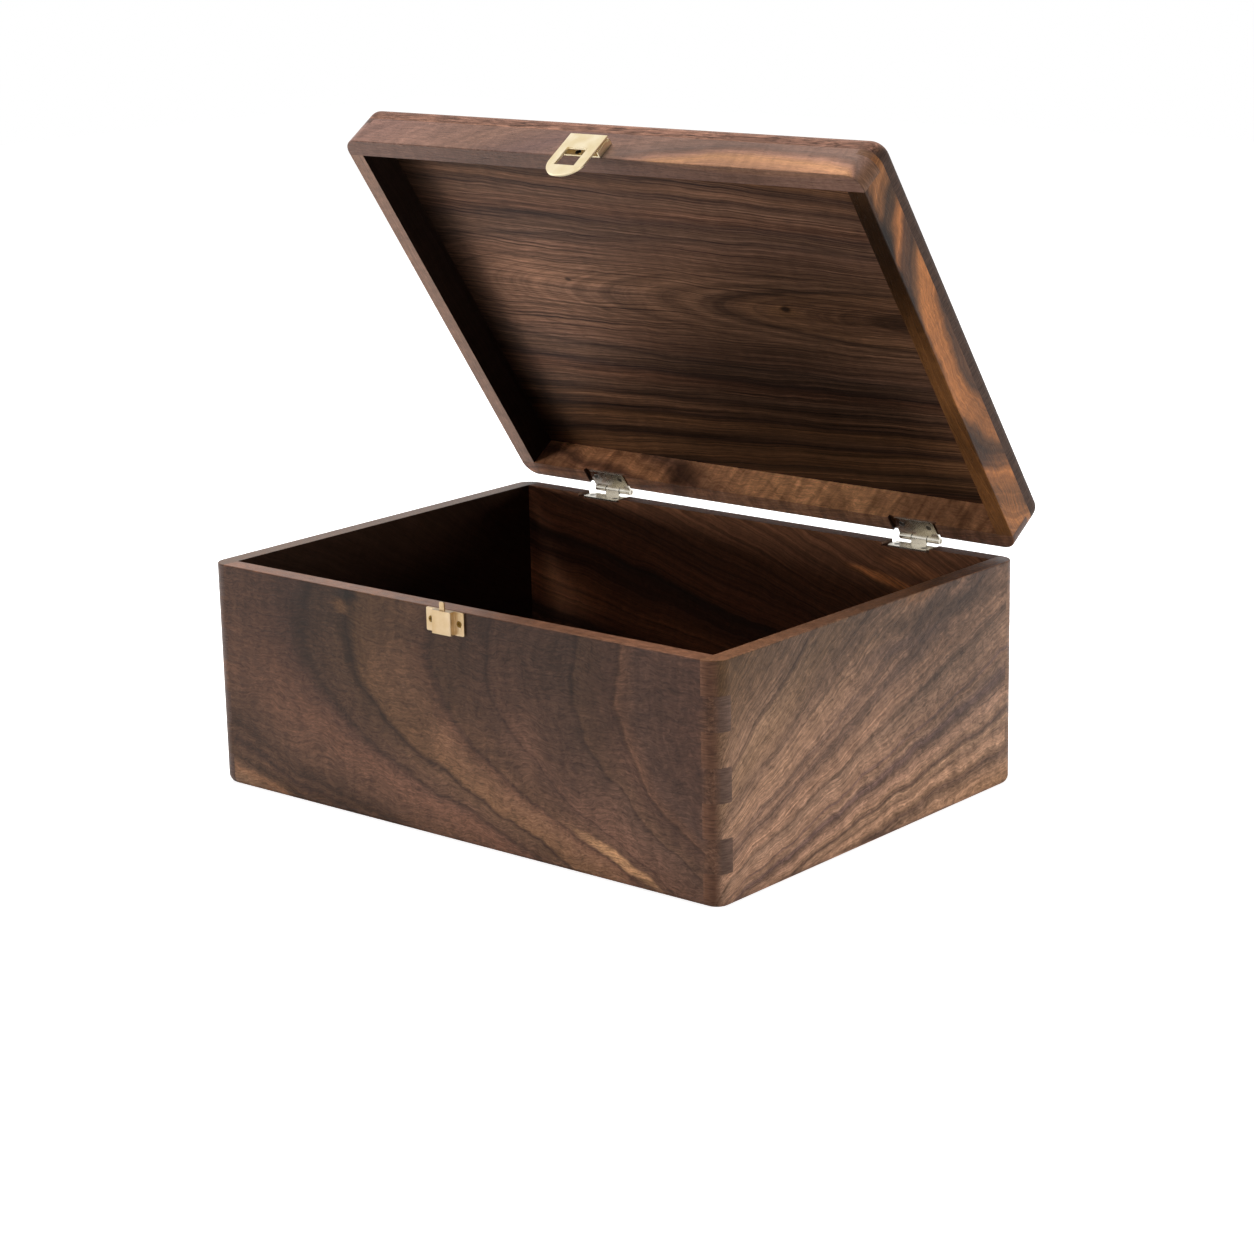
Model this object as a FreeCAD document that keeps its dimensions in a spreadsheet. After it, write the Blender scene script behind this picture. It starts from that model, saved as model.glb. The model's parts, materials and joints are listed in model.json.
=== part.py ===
import FreeCAD, Part
import os
import re
import Sketcher

# A walnut box with finger jointed corners, a lid on two butt hinges and a brass hasp.
# Frame: X to the right, Y from front to back, Z up, origin under the middle of the base, millimetres.
# Every lid piece is drawn in its closed place and then turned open about the hinge line.

SIZES = {
    # carcass
    "box_length": 340,
    "box_width": 250,
    "body_height": 121,
    "lid_height": 28.8,
    "rim_gap": 0.2,
    "wall": 10,
    "bottom_thickness": 10,
    "top_thickness": 10,
    "corner_radius": 9,
    "base_edge_radius": 5,
    "top_edge_radius": 6,
    "rim_easing": 0.6,
    # finger joints: one row up each corner, sawn through where the lid parts from the body
    "finger_count": 7,
    "saw_kerf": 2.3,
    # hinges
    "lid_angle": 55.7,
    "hinge_inset": 63.4,
    "hinge_setback": 4.2,
    "hinge_rise": 1.2,
    "hinge_length": 25.4,
    "leaf_margin": 0.6,
    "leaf_overhang": 1,
    "leaf_thickness": 0.9,
    "leaf_corner_radius": 2,
    "mortise_depth": 2.1,
    "mortise_side_gap": 2.5,
    "knuckle_radius": 1.8,
    "middle_knuckle": 9.8,
    "knuckle_gap": 0.2,
    "knuckle_relief": 0.3,
    "hinge_pin_radius": 0.9,
    "hinge_pin_recess": 0.3,
    "running_clearance": 0.05,
    "hinge_screw_spacing": 17,
    # countersunk screws
    "screw_head": 3.4,
    "screw_shank": 2,
    "screw_length": 8,
    "screw_tip": 1.6,
    "screw_point": 0.5,
    "screw_clearance": 0.05,
    "screw_end_gap": 0.3,
    "recess_span": 2.2,
    "recess_width": 0.5,
    "recess_depth": 0.5,
    # hasp on the lid, measured out from the lid's front and up from its rim
    "hasp_width": 24,
    "hasp_base_lift": 0.2,
    "hasp_sheet": 0.9,
    "hasp_cheek": 0.8,
    "cheek_radius": 1.4,
    "cheek_setback": 0.6,
    "hasp_pin_radius": 0.7,
    "hasp_pin_up": 10,
    "hasp_pin_proud": 0.2,
    "hasp_screw_spacing": 7.2,
    "hasp_screw_up": 2.6,
    "flap_gap": 0.4,
    "flap_thickness": 1.4,
    "flap_top": 1,
    "flap_bar": 7.3,
    "flap_end_radius": 10.5,
    "flap_easing": 0.6,
    "flap_ear": 0.8,
    "flap_ear_gap": 0.2,
    "flap_ear_radius": 1.4,
    "flap_ear_crown": 0.8,
    "window_gap": 0.3,
    "window_above": 0.3,
    "window_below": 0.5,
    # keeper on the body, measured out from the body's front and down from its rim
    "keeper_width": 25.2,
    "keeper_height": 12,
    "keeper_below_rim": 0.2,
    "keeper_sheet": 0.9,
    "keeper_corner_radius": 0.8,
    "keeper_block_width": 12.6,
    "keeper_block_out": 4,
    "keeper_block_radius": 0.5,
    "keeper_clearance": 0.4,
    "tongue_width": 3.2,
    "tongue_thickness": 0.9,
    "tongue_out": 2.2,
    "tongue_above_rim": 4.2,
    "tongue_depth": 6,
    "tongue_clearance": 0.05,
    "tongue_corner_radius": 0.6,
    # how far a cutting tool runs past the face that it opens
    "cut_over": 1,
}

LID_FOOT = "(body_height + rim_gap)"
RAIL_HEIGHT = "(lid_height - top_thickness)"
FINGER = "(body_height / finger_count)"
LID_FINGER = "(body_height / finger_count - saw_kerf)"
HINGE_X = "(box_length / 2 - hinge_inset)"
HINGE_Y = "(box_width / 2 + hinge_setback)"
HINGE_Z = "(body_height + hinge_rise)"
COUNTERSINK = "((screw_head - screw_shank) / 2)"
HASP_PIN_OUT = "(keeper_block_out + keeper_clearance - cheek_radius - flap_gap)"
HASP_PIN_Y = f"(-box_width / 2 - {HASP_PIN_OUT})"
HASP_PIN_Z = f"({LID_FOOT} + hasp_pin_up)"
KEEPER_TOP = "(body_height - keeper_below_rim)"
KEEPER_SCREW_X = "((keeper_width + keeper_block_width) / 4)"
OPEN_LID = (
    "placement(vector(0; 0; 0); rotation(vector(-1; 0; 0); lid_angle); "
    f"vector(0; {HINGE_Y}; {HINGE_Z}))"
)
SAME_PLACE = 1e-4

doc = FreeCAD.newDocument("walnut_box")
sheet = doc.addObject("Spreadsheet::Sheet", "sizes")
for row, (alias, value) in enumerate(SIZES.items(), 1):
    sheet.set(f"A{row}", alias)
    sheet.set(f"B{row}", str(value))
    sheet.setAlias(f"B{row}", alias)
doc.recompute()
pieces = []


def formula(text):
    """The text with each size's name pointing at its cell."""
    return re.sub(r"[a-z_]+", lambda m: "sizes." + m[0] if m[0] in SIZES else m[0], text)


def bind(item, **formulas):
    """Binds properties to formulas. In a name, two underscores stand for a dot."""
    for name, text in formulas.items():
        item.setExpression(name.replace("__", "."), formula(text))
    return item


def place(item, x="0", y="0", z="0"):
    return bind(item, Placement__Base__x=x, Placement__Base__y=y, Placement__Base__z=z)


def body_piece(item, label):
    """Names a finished sub-part and keeps it for the export."""
    item.Label = label
    pieces.append(item)


def lid_piece(item, label):
    """A sub-part that turns with the lid: drawn closed, then opened."""
    bind(item, Placement=OPEN_LID)
    body_piece(item, label)


def block(name, x, y, z, length, width, height):
    """A box from its low corner and its three sides."""
    box = doc.addObject("Part::Box", name)
    bind(box, Length=length, Width=width, Height=height)
    return place(box, x, y, z)


def rod(name, radius, x, y, z, length):
    """A round rod along X, from its left end."""
    cylinder = doc.addObject("Part::Cylinder", name)
    cylinder.Placement.Rotation = FreeCAD.Rotation(FreeCAD.Vector(0, 1, 0), 90)
    bind(cylinder, Radius=radius, Height=length)
    return place(cylinder, x, y, z)


def fuse(name, items):
    joined = doc.addObject("Part::MultiFuse", name)
    joined.Shapes = items
    joined.Refine = True
    return joined


def group(name, items):
    compound = doc.addObject("Part::Compound", name)
    compound.Links = items
    return compound


def boolean(kind, name, base, tool):
    result = doc.addObject(kind, name)
    result.Base = base
    result.Tool = tool
    return result


def sketch_on(body, plane, name):
    sketch = body.newObject("Sketcher::SketchObject", name)
    planes = {item.Role: item for item in body.Origin.OriginFeatures}
    sketch.AttachmentSupport = (planes[plane], "")
    sketch.MapMode = "FlatFace"
    return sketch


def dimension(sketch, constraint, text):
    sketch.setExpression(f"Constraints[{sketch.addConstraint(constraint)}]", formula(text))


def polygon(sketch, corners):
    """A closed outline. Each corner is dimensioned from the sketch's origin by two formulas."""
    first = sketch.GeometryCount
    count = len(corners)
    for i in range(count):
        start = FreeCAD.Vector(i, i * i, 0)
        end = FreeCAD.Vector(i + 1, (i + 1) * (i + 1), 0)
        sketch.addGeometry(Part.LineSegment(start, end))
    for i in range(count):
        sketch.addConstraint(Sketcher.Constraint("Coincident", first + i, 2, first + (i + 1) % count, 1))
    for i, (across, up) in enumerate(corners):
        dimension(sketch, Sketcher.Constraint("DistanceX", -1, 1, first + i, 1, i), across)
        dimension(sketch, Sketcher.Constraint("DistanceY", -1, 1, first + i, 1, i), up)


def rectangle(sketch, left, low, right, high):
    polygon(sketch, [(left, low), (right, low), (right, high), (left, high)])


def circle(sketch, radius):
    """A circle about the sketch's origin."""
    centre = FreeCAD.Vector(0, 0, 0)
    index = sketch.addGeometry(Part.Circle(centre, FreeCAD.Vector(0, 0, 1), 1))
    sketch.addConstraint(Sketcher.Constraint("Coincident", index, 3, -1, 1))
    dimension(sketch, Sketcher.Constraint("Radius", index, 1), radius)


def pad(body, sketch, name, length, both_ways=False, backwards=False):
    feature = body.newObject("PartDesign::Pad", name)
    feature.Profile = sketch
    feature.SideType = "Symmetric" if both_ways else "One side"
    feature.Reversed = backwards
    bind(feature, Length=length)
    doc.recompute()


def pocket(body, sketch, name, both_ways=True):
    """Cuts the sketch right through the body, both ways or only towards -Y."""
    before = body.Tip.Shape.Volume
    feature = body.newObject("PartDesign::Pocket", name)
    feature.Profile = sketch
    feature.SideType = "Symmetric" if both_ways else "One side"
    feature.Type = "ThroughAll"
    feature.Reversed = not both_ways
    doc.recompute()
    if feature.Shape.Volume >= before:
        raise ValueError(f"{name} cuts nothing")


def edges_at(body, x=None, y=None, z=None):
    """The body's edges that lie wholly at the given places. An x counts on both sides of the middle."""
    wanted = []
    for axis, text in enumerate((x, y, z)):
        if text is not None:
            wanted.append((axis, float(sheet.evalExpression(formula(text)))))
    names = []
    for number, edge in enumerate(body.Tip.Shape.Edges, 1):
        points = [(abs(point.x), point.y, point.z) for point in edge.discretize(5)]
        if all(abs(point[axis] - target) < SAME_PLACE for point in points for axis, target in wanted):
            names.append(f"Edge{number}")
    return names


def fillet(body, name, radius, edges):
    base = body.Tip
    feature = body.newObject("PartDesign::Fillet", name)
    feature.Base = (base, edges)
    bind(feature, Radius=radius)
    doc.recompute()


def new_body(name):
    return doc.addObject("PartDesign::Body", name)


# Screws: countersunk head, plain shank, pointed tip and a cross recess.
# Each set gives its places along X, the Y and Z of its heads, and its turn about X from pointing down.

HINGE_SCREW_X = [f"{side}{HINGE_X} {step} hinge_screw_spacing / 2" for side in ("-", "") for step in "-+"]
SCREWS = {
    "hinge_body_screws": (HINGE_SCREW_X, "box_width / 2 - wall / 2",
                          "body_height - mortise_depth + leaf_thickness", 0),
    "hinge_lid_screws": (HINGE_SCREW_X, "box_width / 2 - wall / 2", HINGE_Z, 180),
    "hasp_screws": (["-hasp_screw_spacing / 2", "hasp_screw_spacing / 2"],
                    "-box_width / 2 - hasp_sheet", f"{LID_FOOT} + hasp_screw_up", 90),
    "catch_screws": ([f"-{KEEPER_SCREW_X}", KEEPER_SCREW_X],
                     "-box_width / 2 - keeper_sheet", f"{KEEPER_TOP} - keeper_height / 2", 90),
}


def cone(name, low_radius, high_radius, height, z):
    item = doc.addObject("Part::Cone", name)
    bind(item, Radius1=low_radius, Radius2=high_radius, Height=height)
    return place(item, z=z)


def shaft(name, radius, height, z):
    item = doc.addObject("Part::Cylinder", name)
    bind(item, Radius=radius, Height=height)
    return place(item, z=z)


def screw(name):
    """One screw that points down, its head flush with the origin."""
    head = cone(name + "_head", "screw_shank / 2", "screw_head / 2", COUNTERSINK, f"-{COUNTERSINK}")
    shank = shaft(name + "_shank", "screw_shank / 2", f"screw_length - screw_tip - {COUNTERSINK}",
                  "screw_tip - screw_length")
    tip = cone(name + "_tip", "screw_point / 2", "screw_shank / 2", "screw_tip", "-screw_length")
    slots = []
    for number, (wide, deep) in enumerate((("recess_span", "recess_width"), ("recess_width", "recess_span"))):
        slots.append(block(f"{name}_slot_{number}", f"-{wide} / 2", f"-{deep} / 2", "-recess_depth",
                           wide, deep, "recess_depth + cut_over"))
    blank = fuse(name + "_blank", [head, shank, tip])
    return boolean("Part::Cut", name, blank, fuse(name + "_cross", slots))


def screw_hole(name):
    """The countersunk hole for one screw, with the clearance all round and past its tip."""
    sink = cone(name + "_sink", "screw_shank / 2 + screw_clearance", "screw_head / 2 + screw_clearance",
                COUNTERSINK, f"-{COUNTERSINK}")
    bore = shaft(name + "_bore", "screw_shank / 2 + screw_clearance", "screw_length + screw_end_gap",
                 "-screw_length - screw_end_gap")
    return fuse(name, [sink, bore])


def screw_set(label, make, suffix):
    """A screw, or a hole, at each place of the set."""
    places, y, z, turn = SCREWS[label]
    items = []
    for number, x in enumerate(places):
        item = make(f"{label}_{suffix}_{number}")
        item.Placement.Rotation = FreeCAD.Rotation(FreeCAD.Vector(1, 0, 0), turn)
        items.append(place(item, x, y, z))
    return items


holes = {label: fuse(label + "_holes", screw_set(label, screw_hole, "hole")) for label in SCREWS}
body_piece(group("body_screw_set", screw_set("hinge_body_screws", screw, "screw")), "hinge_body_screws")
lid_piece(group("lid_screw_set", screw_set("hinge_lid_screws", screw, "screw")), "hinge_lid_screws")
lid_piece(group("hasp_screw_set", screw_set("hasp_screws", screw, "screw")), "hasp_screws")
body_piece(group("catch_screw_set", screw_set("catch_screws", screw, "screw")), "catch_screws")


# Boards: the glued-up carcass is rounded as a whole, and each board is its share of it

def rounded_block(name, height, foot, low_radius, high_radius):
    """The outside of the body or the lid, with its upright corners and both rims rounded."""
    body = new_body(name)
    outline = sketch_on(body, "XY_Plane", name + "_outline")
    rectangle(outline, "-box_length / 2", "-box_width / 2", "box_length / 2", "box_width / 2")
    pad(body, outline, name + "_pad", height)
    uprights = edges_at(body, x="box_length / 2", y="-box_width / 2")
    uprights += edges_at(body, x="box_length / 2", y="box_width / 2")
    fillet(body, name + "_corners", "corner_radius", uprights)
    fillet(body, name + "_low_edges", low_radius, edges_at(body, z="0"))
    fillet(body, name + "_high_edges", high_radius, edges_at(body, z=height))
    return place(body, z=foot)


def along_x(name, side, foot, height, fingers):
    """Front (side -1) or back (side 1) board's share: the length between the sides, and its fingers."""
    low_y = "-box_width / 2" if side < 0 else "box_width / 2 - wall"
    parts = [block(name + "_middle", "wall - box_length / 2", low_y, foot,
                   "box_length - 2 * wall", "wall", height)]
    for number, (start, rise) in enumerate(fingers):
        for end, low_x in (("left", "-box_length / 2"), ("right", "box_length / 2 - wall")):
            parts.append(block(f"{name}_{end}_finger_{number}", low_x, low_y, start, "wall", "wall", rise))
    return fuse(name + "_share", parts)


def along_y(name, side, foot, height, fingers):
    """Left (side -1) or right (side 1) board's share: the width between front and back, and its fingers."""
    low_x = "-box_length / 2" if side < 0 else "box_length / 2 - wall"
    parts = [block(name + "_middle", low_x, "wall - box_width / 2", foot,
                   "wall", "box_width - 2 * wall", height)]
    for number, (start, rise) in enumerate(fingers):
        for end, low_y in (("front", "-box_width / 2"), ("back", "box_width / 2 - wall")):
            parts.append(block(f"{name}_{end}_finger_{number}", low_x, low_y, start, "wall", "wall", rise))
    return fuse(name + "_share", parts)


def mortises(name, low, height):
    """Two hinge mortises right across a rim."""
    tools = []
    for side, sign in (("left", "-"), ("right", "")):
        tools.append(block(f"{name}_{side}", f"{sign}{HINGE_X} - hinge_length / 2 - mortise_side_gap",
                           "box_width / 2 - wall - cut_over", low,
                           "hinge_length + 2 * mortise_side_gap", "wall + 2 * cut_over", height))
    return tools


body_rows = int(SIZES["finger_count"])
rows = [(f"{number} * {FINGER}", FINGER) for number in range(body_rows)]
rows.append((LID_FOOT, LID_FINGER))
rows.append((f"{LID_FOOT} + {LID_FINGER}", f"{RAIL_HEIGHT} - {LID_FINGER}"))


def body_fingers(parity):
    """The body's rows that belong to the sides (parity 0) or to the front and back (parity 1)."""
    return [rows[number] for number in range(body_rows) if number % 2 == parity]


def lid_fingers(parity):
    """The same for the two rows above the saw cut."""
    return [rows[number] for number in range(body_rows, len(rows)) if number % 2 == parity]


carcass = rounded_block("carcass", "body_height", "0", "base_edge_radius", "rim_easing")
front_share = along_x("front_board", -1, "0", "body_height", body_fingers(1))
front_blank = boolean("Part::Common", "front_blank", carcass, front_share)
body_piece(boolean("Part::Cut", "front_cut", front_blank, holes["catch_screws"]), "front_board")
back_share = along_x("back_board", 1, "0", "body_height", body_fingers(1))
back_blank = boolean("Part::Common", "back_blank", carcass, back_share)
body_mortises = mortises("body_mortise", "body_height - mortise_depth", "mortise_depth + cut_over")
back_tools = fuse("back_tools", body_mortises + [holes["hinge_body_screws"]])
body_piece(boolean("Part::Cut", "back_cut", back_blank, back_tools), "back_board")
for side, sign in (("left", -1), ("right", 1)):
    share = along_y(f"{side}_board", sign, "0", "body_height", body_fingers(0))
    body_piece(boolean("Part::Common", f"{side}_common", carcass, share), f"{side}_board")
panel = block("panel", "wall - box_length / 2", "wall - box_width / 2", "0",
              "box_length - 2 * wall", "box_width - 2 * wall", "bottom_thickness")
body_piece(panel, "bottom_panel")

lid_block = rounded_block("lid_block", "lid_height", LID_FOOT, "rim_easing", "top_edge_radius")
front_share = along_x("lid_front_rail", -1, LID_FOOT, RAIL_HEIGHT, lid_fingers(1))
front_rail = boolean("Part::Common", "front_rail_blank", lid_block, front_share)
lid_piece(boolean("Part::Cut", "front_rail_cut", front_rail, holes["hasp_screws"]), "lid_front_rail")
back_share = along_x("lid_back_rail", 1, LID_FOOT, RAIL_HEIGHT, lid_fingers(1))
back_rail = boolean("Part::Common", "back_rail_blank", lid_block, back_share)
lid_mortises = mortises("lid_mortise", f"{LID_FOOT} - cut_over",
                        f"{HINGE_Z} + leaf_thickness - {LID_FOOT} + cut_over")
rail_tools = fuse("rail_tools", lid_mortises + [holes["hinge_lid_screws"]])
lid_piece(boolean("Part::Cut", "back_rail_cut", back_rail, rail_tools), "lid_back_rail")
for side, sign in (("left", -1), ("right", 1)):
    share = along_y(f"lid_{side}_rail", sign, LID_FOOT, RAIL_HEIGHT, lid_fingers(0))
    lid_piece(boolean("Part::Common", f"lid_{side}_common", lid_block, share), f"lid_{side}_rail")
top_share = block("top_share", "-box_length / 2", "-box_width / 2", f"{LID_FOOT} + {RAIL_HEIGHT}",
                  "box_length", "box_width", "top_thickness")
lid_piece(boolean("Part::Common", "top_common", lid_block, top_share), "lid_top_panel")


# Hinges: each leaf is drawn about the middle of its barrel, with Y pointing out of the back of the box

LEAF_FRONT = "(leaf_margin - wall - hinge_setback)"
LEAF_BACK = "(leaf_overhang - hinge_setback)"
LOW_LEAF = "(-hinge_rise - mortise_depth)"


def barrel(body, name, length):
    """A knuckle of the given length about the leaf's middle, bored for the pin."""
    roll = sketch_on(body, "YZ_Plane", name + "_barrel")
    circle(roll, "knuckle_radius")
    pad(body, roll, name + "_roll", length, both_ways=True)
    bore = sketch_on(body, "YZ_Plane", name + "_bore")
    circle(bore, "hinge_pin_radius + running_clearance")
    pocket(body, bore, name + "_bore_cut")


def body_leaf(name):
    """The plate in the body's mortise. Its middle turns up into the middle knuckle."""
    body = new_body(name)
    section = sketch_on(body, "YZ_Plane", name + "_section")
    riser, face = "leaf_thickness - knuckle_radius", f"{LOW_LEAF} + leaf_thickness"
    polygon(section, [(LEAF_FRONT, LOW_LEAF), (riser, LOW_LEAF), (riser, "0"), ("-knuckle_radius", "0"),
                      ("-knuckle_radius", face), (LEAF_FRONT, face)])
    pad(body, section, name + "_plate", "hinge_length", both_ways=True)
    fillet(body, name + "_corners", "leaf_corner_radius", edges_at(body, x="hinge_length / 2", y=LEAF_FRONT))
    ends = sketch_on(body, "XY_Plane", name + "_ends")
    rectangle(ends, "-hinge_length / 2 - cut_over", LEAF_BACK, "-middle_knuckle / 2", "cut_over")
    rectangle(ends, "middle_knuckle / 2", LEAF_BACK, "hinge_length / 2 + cut_over", "cut_over")
    pocket(body, ends, name + "_ends_cut")
    barrel(body, name, "middle_knuckle")
    return body


def lid_leaf(name):
    """The plate in the lid's mortise, drawn closed. Its ends run into the two outer knuckles."""
    body = new_body(name)
    section = sketch_on(body, "YZ_Plane", name + "_section")
    rectangle(section, LEAF_FRONT, "0", "0", "leaf_thickness")
    pad(body, section, name + "_plate", "hinge_length", both_ways=True)
    fillet(body, name + "_corners", "leaf_corner_radius", edges_at(body, x="hinge_length / 2", y=LEAF_FRONT))
    barrel(body, name, "hinge_length")
    notch = sketch_on(body, "XY_Plane", name + "_notch")
    half = "middle_knuckle / 2 + knuckle_gap"
    rectangle(notch, f"-({half})", "-knuckle_radius - knuckle_relief", half, "knuckle_radius + cut_over")
    pocket(body, notch, name + "_notch_cut")
    return body


for side, sign in (("left", "-"), ("right", "")):
    low = place(body_leaf(f"{side}_low_leaf"), f"{sign}{HINGE_X}", HINGE_Y, HINGE_Z)
    low_cut = boolean("Part::Cut", f"{side}_low_cut", low, holes["hinge_body_screws"])
    body_piece(low_cut, f"{side}_hinge_body_leaf")
    high = place(lid_leaf(f"{side}_high_leaf"), f"{sign}{HINGE_X}", HINGE_Y, HINGE_Z)
    high_cut = boolean("Part::Cut", f"{side}_high_cut", high, holes["hinge_lid_screws"])
    lid_piece(high_cut, f"{side}_hinge_lid_leaf")
    pin = rod(f"{side}_pin", "hinge_pin_radius", f"{sign}{HINGE_X} - hinge_length / 2 + hinge_pin_recess",
              HINGE_Y, HINGE_Z, "hinge_length - 2 * hinge_pin_recess")
    body_piece(pin, f"{side}_hinge_pin")


# Hasp: drawn closed about the middle of its pin, with Y pointing into the lid

BASE_LOW = "(hasp_base_lift - hasp_pin_up)"
FLAP_IN = "(cheek_radius + flap_gap)"
FLAP_FRONT = f"(-{FLAP_IN} - flap_thickness)"
FLAP_EARS = "(hasp_width / 2 - hasp_cheek - flap_ear_gap)"
WINDOW_HALF = "(keeper_block_width / 2 + window_gap)"
WINDOW_HIGH = "(window_above - hasp_pin_up)"
WINDOW_LOW = "(-hasp_pin_up - rim_gap - keeper_below_rim - keeper_height - window_below)"
FLAP_LOW = f"({WINDOW_LOW} - flap_bar)"


def hasp_base():
    """A plate against the lid, with a cheek at each side that carries the pin."""
    body = new_body("base")
    cheek = sketch_on(body, "YZ_Plane", "cheek_outline")
    polygon(cheek, [(HASP_PIN_OUT, BASE_LOW), (HASP_PIN_OUT, "cheek_radius"),
                    ("-cheek_radius", "cheek_radius"), ("-cheek_radius", "-cheek_radius / 2"),
                    ("cheek_setback - cheek_radius", BASE_LOW)])
    pad(body, cheek, "cheek_pad", "hasp_width", both_ways=True)
    fillet(body, "cheek_nose", "cheek_radius", edges_at(body, y="-cheek_radius", z="cheek_radius"))
    hollow = sketch_on(body, "XZ_Plane", "hollow_outline")
    inside = "(hasp_width / 2 - hasp_cheek)"
    rectangle(hollow, f"-{inside}", f"{BASE_LOW} - cut_over", inside, "cheek_radius + cut_over")
    bind(hollow, AttachmentOffset__Base__z=f"hasp_sheet - {HASP_PIN_OUT}")
    pocket(body, hollow, "hollow_cut", both_ways=False)
    bore = sketch_on(body, "YZ_Plane", "base_bore")
    circle(bore, "hasp_pin_radius + running_clearance")
    pocket(body, bore, "base_bore_cut")
    return place(body, y=HASP_PIN_Y, z=HASP_PIN_Z)


def hasp_flap():
    """A flap with a rounded lower end, a window for the keeper's block and two ears on the pin."""
    body = new_body("flap")
    outline = sketch_on(body, "YZ_Plane", "ear_outline")
    rectangle(outline, FLAP_FRONT, "-flap_ear_radius", "flap_ear_radius", "flap_top")
    pad(body, outline, "ear_pad", f"2 * {FLAP_EARS}", both_ways=True)
    fillet(body, "ear_heel", "flap_ear_radius", edges_at(body, y="flap_ear_radius", z="-flap_ear_radius"))
    fillet(body, "ear_crown", "flap_ear_crown", edges_at(body, y="flap_ear_radius", z="flap_top"))
    hollow = sketch_on(body, "XY_Plane", "ear_hollow")
    inside = f"({FLAP_EARS} - flap_ear)"
    rectangle(hollow, f"-{inside}", f"-{FLAP_IN}", inside, "flap_ear_radius + cut_over")
    pocket(body, hollow, "ear_hollow_cut")
    bore = sketch_on(body, "YZ_Plane", "ear_bore")
    circle(bore, "hasp_pin_radius + running_clearance")
    pocket(body, bore, "ear_bore_cut")
    plate = sketch_on(body, "YZ_Plane", "plate_section")
    rectangle(plate, FLAP_FRONT, FLAP_LOW, f"-{FLAP_IN}", "flap_top")
    pad(body, plate, "flap_plate", "hasp_width", both_ways=True)
    fillet(body, "flap_end", "flap_end_radius", edges_at(body, x="hasp_width / 2", z=FLAP_LOW))
    fillet(body, "flap_edges", "flap_easing", edges_at(body, y=FLAP_FRONT))
    window = sketch_on(body, "XZ_Plane", "window_outline")
    rectangle(window, f"-{WINDOW_HALF}", WINDOW_LOW, WINDOW_HALF, WINDOW_HIGH)
    pocket(body, window, "window_cut")
    return place(body, y=HASP_PIN_Y, z=HASP_PIN_Z)


lid_piece(boolean("Part::Cut", "base_cut", hasp_base(), holes["hasp_screws"]), "hasp_base")
lid_piece(group("flap_turned", [hasp_flap()]), "hasp_flap")
rivet = rod("rivet", "hasp_pin_radius", "-hasp_width / 2 - hasp_pin_proud", HASP_PIN_Y, HASP_PIN_Z,
            "hasp_width + 2 * hasp_pin_proud")
lid_piece(group("rivet_turned", [rivet]), "hasp_pin")


# Keeper: a plate with a raised block, and a tongue that stands in a slot in the block

def catch_keeper():
    body = new_body("keeper")
    plan = sketch_on(body, "XY_Plane", "keeper_plan")
    half, step = "keeper_width / 2", "keeper_block_width / 2"
    right = [(half, "0"), (half, "-keeper_sheet"), (step, "-keeper_sheet"), (step, "-keeper_block_out")]
    left = [(f"-{across}", up) for across, up in reversed(right)]
    polygon(plan, right + left)
    pad(body, plan, "keeper_pad", "keeper_height", backwards=True)
    fillet(body, "keeper_block_edges", "keeper_block_radius", edges_at(body, x=step, y="-keeper_block_out"))
    corners = edges_at(body, x=half, z="0") + edges_at(body, x=half, z="-keeper_height")
    fillet(body, "keeper_corners", "keeper_corner_radius", corners)
    return place(body, y="-box_width / 2", z=KEEPER_TOP)


def catch_tongue():
    body = new_body("tongue")
    front = sketch_on(body, "XZ_Plane", "tongue_outline")
    top = "keeper_below_rim + tongue_above_rim"
    rectangle(front, "-tongue_width / 2", "-tongue_depth", "tongue_width / 2", top)
    pad(body, front, "tongue_pad", "tongue_thickness")
    fillet(body, "tongue_corners", "tongue_corner_radius", edges_at(body, x="tongue_width / 2", z=top))
    return place(body, y="-box_width / 2 - tongue_out", z=KEEPER_TOP)


tongue_slot = block("tongue_slot", "-tongue_width / 2 - tongue_clearance",
                    "-box_width / 2 - tongue_out - tongue_thickness - tongue_clearance",
                    f"{KEEPER_TOP} - tongue_depth", "tongue_width + 2 * tongue_clearance",
                    "tongue_thickness + 2 * tongue_clearance", "tongue_depth + cut_over")
keeper_tools = fuse("keeper_tools", [tongue_slot, holes["catch_screws"]])
body_piece(boolean("Part::Cut", "keeper_cut", catch_keeper(), keeper_tools), "catch_keeper")
body_piece(catch_tongue(), "catch_tongue")

# Every object has to be sound before anything is written

doc.recompute()
for item in doc.Objects:
    if "Invalid" in item.State or "Error" in item.State:
        raise ValueError(f"{item.Name} failed: {item.State}")
for item in pieces:
    if item.Shape.isNull() or not item.Shape.isValid() or not item.Shape.Solids:
        raise ValueError(f"{item.Label} is not a sound solid")
os.makedirs("parts", exist_ok=True)
for item in pieces:
    item.Shape.exportStep(f"parts/{item.Label}.step")
    box = item.Shape.BoundBox
    print(f"{item.Label}: {len(item.Shape.Solids)} solids, {item.Shape.Volume:.1f} mm3, x {box.XMin:.1f} "
          f"{box.XMax:.1f}, y {box.YMin:.1f} {box.YMax:.1f}, z {box.ZMin:.1f} {box.ZMax:.1f}")
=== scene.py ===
import json
import math
import bpy
import bmesh
from mathutils import Matrix, Vector

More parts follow.
